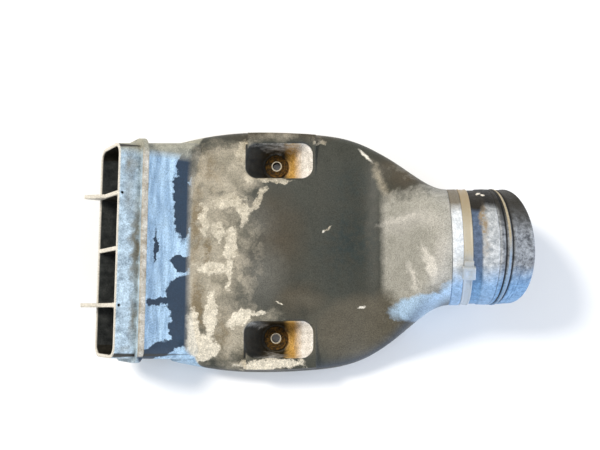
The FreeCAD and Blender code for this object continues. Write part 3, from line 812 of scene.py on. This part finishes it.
def boot_rubber(sizes):
    """Moulded EPDM rubber, old: dull black with dried dust in cloudy patches, which dulls its shine.

    The eye sees a brown black top, partly bare rubber and partly a painted dark reflection,
    a chalky barrel and a rear band that is partly dust and partly a painted highlight, with a
    slate coloured band between them that is painted shade under a cool sky, a cool film low
    down that is partly a painted reflection of a cool sky, black grooves of painted shade, and
    a tan ridge at the end, tan above as painted sunlight and blue below as a painted reflection.
    """
    material, tree = new_material("aged_moulded_epdm_rubber")
    mm = in_mm(tree)
    cloud = stirred(tree, mm, 7.0, 7.0)
    y = put(tree, "SeparateXYZ", (cloud,), out=1)
    mottle = speckle(tree, mm, 3.5, 6.0, 0.7, 0.36, 0.64)
    grit = speckle(tree, mm, 1.1, 4.0, 0.75)
    along, groove, ridge = (
        put(tree, "Attribute", out="Fac", attribute_name=name) for name in ("along", "groove", "ridge"))

    # Along the boot: a pale rear band, partly dust and partly a painted highlight, a slate band
    # behind the barrel, painted shade lit by a cool sky, a chalky barrel, a grey end
    past_tie = put(tree, "MapRange", (along, *PAST_TIE))
    on_barrel = put(tree, "MapRange", (along, *ON_BARREL))
    on_end = put(tree, "MapRange", (along, *ON_END))
    slate = coats(tree, linear("435164"), (mottle, linear("62728A")))
    chalky = coats(tree, linear("8C9194"), (mottle, sizes.dust))
    grey = coats(tree, linear("4A4D51"), (mottle, linear("A1A5A9")))
    colour = coats(tree, linear("C0C6CA"), (mottle, linear("E4E7E8")),
                   (past_tie, slate), (on_barrel, chalky), (on_end, grey))

    # Down the sides: a brown black top, partly bare rubber and partly a painted dark reflection,
    # darker still on top of the end, and a cool film towards the bottom, partly a painted
    # reflection of a cool sky
    top = put(tree, "MapRange", (y, 21.0, 29.0))
    tan_top = put(tree, "MapRange", (along, 11.0, 9.0, 0.0, 0.85))
    painted_dark_end_top = put(tree, "MapRange", (y, 4.0, 20.0, 0.0, 0.85))
    painted_dark_end_top = put(tree, "Math", (painted_dark_end_top, on_end), operation="MULTIPLY")
    low = put(tree, "MapRange", (y, -16.0, -30.0, 0.0, 0.8))
    colour = coats(
        tree, colour, (top, coats(tree, sizes.rubber, (tan_top, linear("7C7465")))),
        (painted_dark_end_top, linear("2F2C25")),
        (low, coats(tree, linear("5F89B2"), (mottle, linear("80AED8")))))

    # A tan patch where the barrel starts, partly stain and partly painted sunlight on the step,
    # dirt on top, pale chips, the ridge with painted sunlight above and a painted cool reflection
    # below, and the grooves darkened as painted shade
    tan = spots(tree, cloud, BARREL_STAIN_AND_LIGHT)
    tan = put(tree, "Math", (tan, mottle), operation="MULTIPLY", use_clamp=True)
    dirt = put(tree, "Math", (spots(tree, cloud, BOOT_DIRT), 1.4), operation="MULTIPLY", use_clamp=True)
    chips = spots(tree, stirred(tree, mm, 3.0, 3.0), BOOT_CHIPS)
    chips = put(tree, "Math", (chips, 1.0), operation="MINIMUM")
    upper = put(tree, "MapRange", (y, -12.0, 4.0))
    ridge = put(tree, "MapRange", (ridge, 0.45, 0.9))
    colour = coats(
        tree, colour, (tan, linear("8E7F68")), (dirt, linear("221E17")), (chips, linear("E0DACD")),
        (ridge, coats(tree, linear("8398AE"), (upper, linear("A89C82")))),
        (groove, linear("0F1113")))

    shade = put(tree, "MapRange", (grit, 0.3, 0.7, 0.7, 1.25))
    colour = put(tree, "VectorMath", {0: colour, "Scale": shade}, operation="SCALE")
    bump = put(tree, "Bump", {"Height": mottle, "Distance": 0.15 * MM, "Strength": 0.6})
    bump = put(tree, "Bump", {"Height": grit, "Distance": 0.2 * MM, "Strength": 0.5, "Normal": bump})
    rough = put(tree, "MapRange", (mottle, 0.0, 1.0, 0.45, 0.62))
    look = {"Base Color": colour, "Roughness": rough, "IOR": 1.52, "Specular IOR Level": 0.2,
            "Normal": bump}
    return coated(material, put(tree, "BsdfPrincipled", look))


def tie_nylon(sizes):
    """Natural nylon 6/6, injection moulded: milky and slightly see-through.

    The eye sees cream plastic, yellowed on top where the sun reaches, cooler low down as a
    painted reflection of a cool sky, with small brown specks of dirt.
    """
    material, tree = new_material("natural_moulded_nylon")
    mm = in_mm(tree)
    y = put(tree, "SeparateXYZ", (stirred(tree, mm, 6.0, 8.0),), out=1)
    dirt = speckle(tree, mm, 2.2, 5.0, 0.7)
    # Cooler low down: a painted reflection of a cool sky
    cool = put(tree, "MapRange", (y, -6.0, -22.0, 0.0, 0.8))
    age = put(tree, "MapRange", (y, 10.0, 34.0))
    specks = put(tree, "MapRange", (dirt, 0.58, 0.72, 0.0, 0.7))
    colour = coats(tree, sizes.nylon, (cool, linear("9FB0C2")), (age, sizes.aged),
                   (specks, linear("8B7B5C")))
    bump = put(tree, "Bump", {"Height": dirt, "Distance": 0.1 * MM, "Strength": 0.4})
    look = {"Base Color": colour, "Roughness": 0.42, "IOR": 1.53, "Subsurface Weight": 0.12,
            "Subsurface Radius": (2.0 * MM, 1.5 * MM, 1.0 * MM), "Normal": bump}
    return coated(material, put(tree, "BsdfPrincipled", look))


def seat_rubber(seat):
    """Moulded rubber grommet stained by rust water: olive brown with ochre rings."""
    material, tree = new_material("rust_stained_moulded_rubber")
    mottle = speckle(tree, in_mm(tree), 2.5, 5.0, 0.7)
    stained = put(tree, "MapRange", (mottle, 0.42, 0.66))
    colour = coats(tree, linear("2A1F0B"), (stained, seat.rust))
    bump = put(tree, "Bump", {"Height": mottle, "Distance": 0.3 * MM, "Strength": 0.6})
    look = {"Base Color": colour, "Roughness": 0.75, "IOR": 1.52, "Specular IOR Level": 0.2,
            "Normal": bump}
    return coated(material, put(tree, "BsdfPrincipled", look))


def sleeve_steel():
    """Rolled zinc plated steel gone rusty: a chalky light rim round the hole, brown scale elsewhere."""
    material, tree = new_material("rusted_zinc_plated_steel")
    mm = in_mm(tree)
    scale = speckle(tree, mm, 1.4, 5.0, 0.7)
    rim = put(tree, "MapRange", (put(tree, "SeparateXYZ", (mm,), out=2), *SLEEVE_RIM, 0.0, 0.85))
    rust = put(tree, "MapRange", (scale, 0.3, 0.5))
    colour = coats(tree, linear("B9B2A4"), (rust, linear("2A1D0E")), (rim, linear("DDD3BC")))
    metal = put(tree, "Math", (1.0, rust), operation="SUBTRACT")
    metal = put(tree, "Math", (metal, rim), operation="SUBTRACT", use_clamp=True)
    rough = put(tree, "MapRange", (rust, 0.0, 1.0, 0.35, 0.8))
    bump = put(tree, "Bump", {"Height": scale, "Distance": 0.15 * MM, "Strength": 0.6})
    look = {"Base Color": colour, "Metallic": metal, "Roughness": rough, "Normal": bump}
    return coated(material, put(tree, "BsdfPrincipled", look))


# ---- Operators ----


class AIRDUCT_OT_shell(bpy.types.Operator):
    """Give the moulded shell its weathered plastic"""

    bl_idname = "airduct.shell"
    bl_label = "Shell finish"

    def execute(self, context):
        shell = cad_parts["duct_shell"]
        shell.data.materials.clear()
        shell.data.materials.append(duct_plastic(context.scene.duct_finish))
        return {"FINISHED"}


class AIRDUCT_OT_boot(bpy.types.Operator):
    """Build the rubber boot on the outlet"""

    bl_idname = "airduct.boot"
    bl_label = "Outlet boot"

    def execute(self, context):
        sizes = context.scene.duct_boot
        piece(boot_mesh(sizes), boot_rubber(sizes), "boot_rubber", "outlet_boot")
        return {"FINISHED"}


class AIRDUCT_OT_tie(bpy.types.Operator):
    """Build the nylon tie round the boot"""

    bl_idname = "airduct.tie"
    bl_label = "Nylon tie"

    def execute(self, context):
        sizes = context.scene.duct_tie
        piece(tie_mesh(sizes), tie_nylon(sizes), "tie_nylon", "cable_tie")
        return {"FINISHED"}


class AIRDUCT_OT_seats(bpy.types.Operator):
    """Build the grommets and the steel sleeves of both bolt holes"""

    bl_idname = "airduct.seats"
    bl_label = "Grommets and sleeves"

    def execute(self, context):
        seat = context.scene.duct_seat
        rubber, steel = seat_rubber(seat), sleeve_steel()
        for side, name in ((1, "left"), (-1, "right")):
            grommet = grommet_mesh(name + "_rubber_grommet", seat, side)
            piece(grommet, rubber, "grommet_rubber", name + "_grommet")
            sleeve = sleeve_mesh(name + "_steel_sleeve", seat, side)
            piece(sleeve, steel, "sleeve_steel", name + "_sleeve")
        return {"FINISHED"}


FLOOR_HALF = 4.0
CAMERA_PLACE = (19.0 * MM, -47.7 * MM)
LAMP_AIM = Vector((0.02, 0.0, 0.03))
# Each lamp's name, place in metres, width in metres, power in watts and colour
LAMPS = (
    ("warm_key", (-1.1, 0.7, 1.5), 0.5, 34.0, "FFF8EE"),
    ("cool_fill", (1.5, -1.7, 0.9), 1.6, 34.0, "DAE8FF"),
    ("cool_side", (1.7, 0.1, 1.0), 1.3, 16.0, "E2ECFF"),
)


class AIRDUCT_OT_stage(bpy.types.Operator):
    """Lay the floor, hang the lights and place the camera"""

    bl_idname = "airduct.stage"
    bl_label = "Stage"

    def execute(self, context):
        scene = context.scene
        stage = scene.duct_stage
        mesh = bpy.data.meshes.new("pale_floor")
        corners = [(x * FLOOR_HALF, y * FLOOR_HALF, 0.0) for x, y in ((-1, -1), (1, -1), (1, 1), (-1, 1))]
        mesh.from_pydata(corners, [], [(0, 1, 2, 3)])
        material, tree = new_material("matt_painted_floor")
        paint = {"Base Color": stage.floor, "Roughness": 0.9}
        mesh.materials.append(coated(material, put(tree, "BsdfPrincipled", paint)))
        floor = bpy.data.objects.new("pale_floor", mesh)
        scene.collection.objects.link(floor)

        world = bpy.data.worlds.new("soft_room")
        world.use_nodes = True
        background = world.node_tree.nodes["Background"]
        background.inputs["Color"].default_value = (*linear("F2F3F4"), 1.0)
        background.inputs["Strength"].default_value = 0.6
        scene.world = world

        for name, place, size, power, colour in LAMPS:
            lamp = bpy.data.lights.new(name, "AREA")
            lamp.shape, lamp.size = "DISK", size
            lamp.energy, lamp.color = power, linear(colour)
            thing = bpy.data.objects.new(name, lamp)
            thing.location = place
            thing.rotation_euler = (Vector(place) - LAMP_AIM).to_track_quat("Z", "Y").to_euler()
            scene.collection.objects.link(thing)

        lens = bpy.data.cameras.new("camera")
        lens.sensor_width = 36.0
        lens.lens = 42.0
        lens.clip_start = 0.01
        camera = bpy.data.objects.new("camera", lens)
        camera.location = (*CAMERA_PLACE, stage.camera_height)
        camera.rotation_euler = (stage.camera_tilt, 0.0, 0.0)
        scene.collection.objects.link(camera)
        scene.camera = camera
        scene.view_settings.view_transform = "Standard"
        return {"FINISHED"}


class AIRDUCT_PT_panel(bpy.types.Panel):
    """Buttons for every piece of the duct"""

    bl_idname = "AIRDUCT_PT_panel"
    bl_label = "Air duct"
    bl_space_type = "VIEW_3D"
    bl_region_type = "UI"
    bl_category = "Air duct"

    def draw(self, context):
        for operator in OPERATORS:
            self.layout.operator(operator.bl_idname)
        for name in SETTINGS:
            box = self.layout.box()
            group = getattr(context.scene, name)
            for key in type(group).__annotations__:
                box.prop(group, key)


OPERATORS = (AIRDUCT_OT_shell, AIRDUCT_OT_boot, AIRDUCT_OT_tie, AIRDUCT_OT_seats, AIRDUCT_OT_stage)
SETTINGS = {"duct_finish": DuctFinish, "duct_boot": BootSizes, "duct_tie": TieSizes,
            "duct_seat": BoltSeat, "duct_stage": StageSettings}


def register():
    for group in SETTINGS.values():
        bpy.utils.register_class(group)
    for operator in (*OPERATORS, AIRDUCT_PT_panel):
        bpy.utils.register_class(operator)
    for name, group in SETTINGS.items():
        setattr(bpy.types.Scene, name, bpy.props.PointerProperty(type=group))


def unregister():
    for name in SETTINGS:
        delattr(bpy.types.Scene, name)
    for operator in (AIRDUCT_PT_panel, *reversed(OPERATORS)):
        bpy.utils.unregister_class(operator)
    for group in SETTINGS.values():
        bpy.utils.unregister_class(group)


def main():
    register()
    bpy.ops.airduct.shell()
    bpy.ops.airduct.boot()
    bpy.ops.airduct.tie()
    bpy.ops.airduct.seats()
    bpy.ops.airduct.stage()


if __name__ == "__main__":
    main()
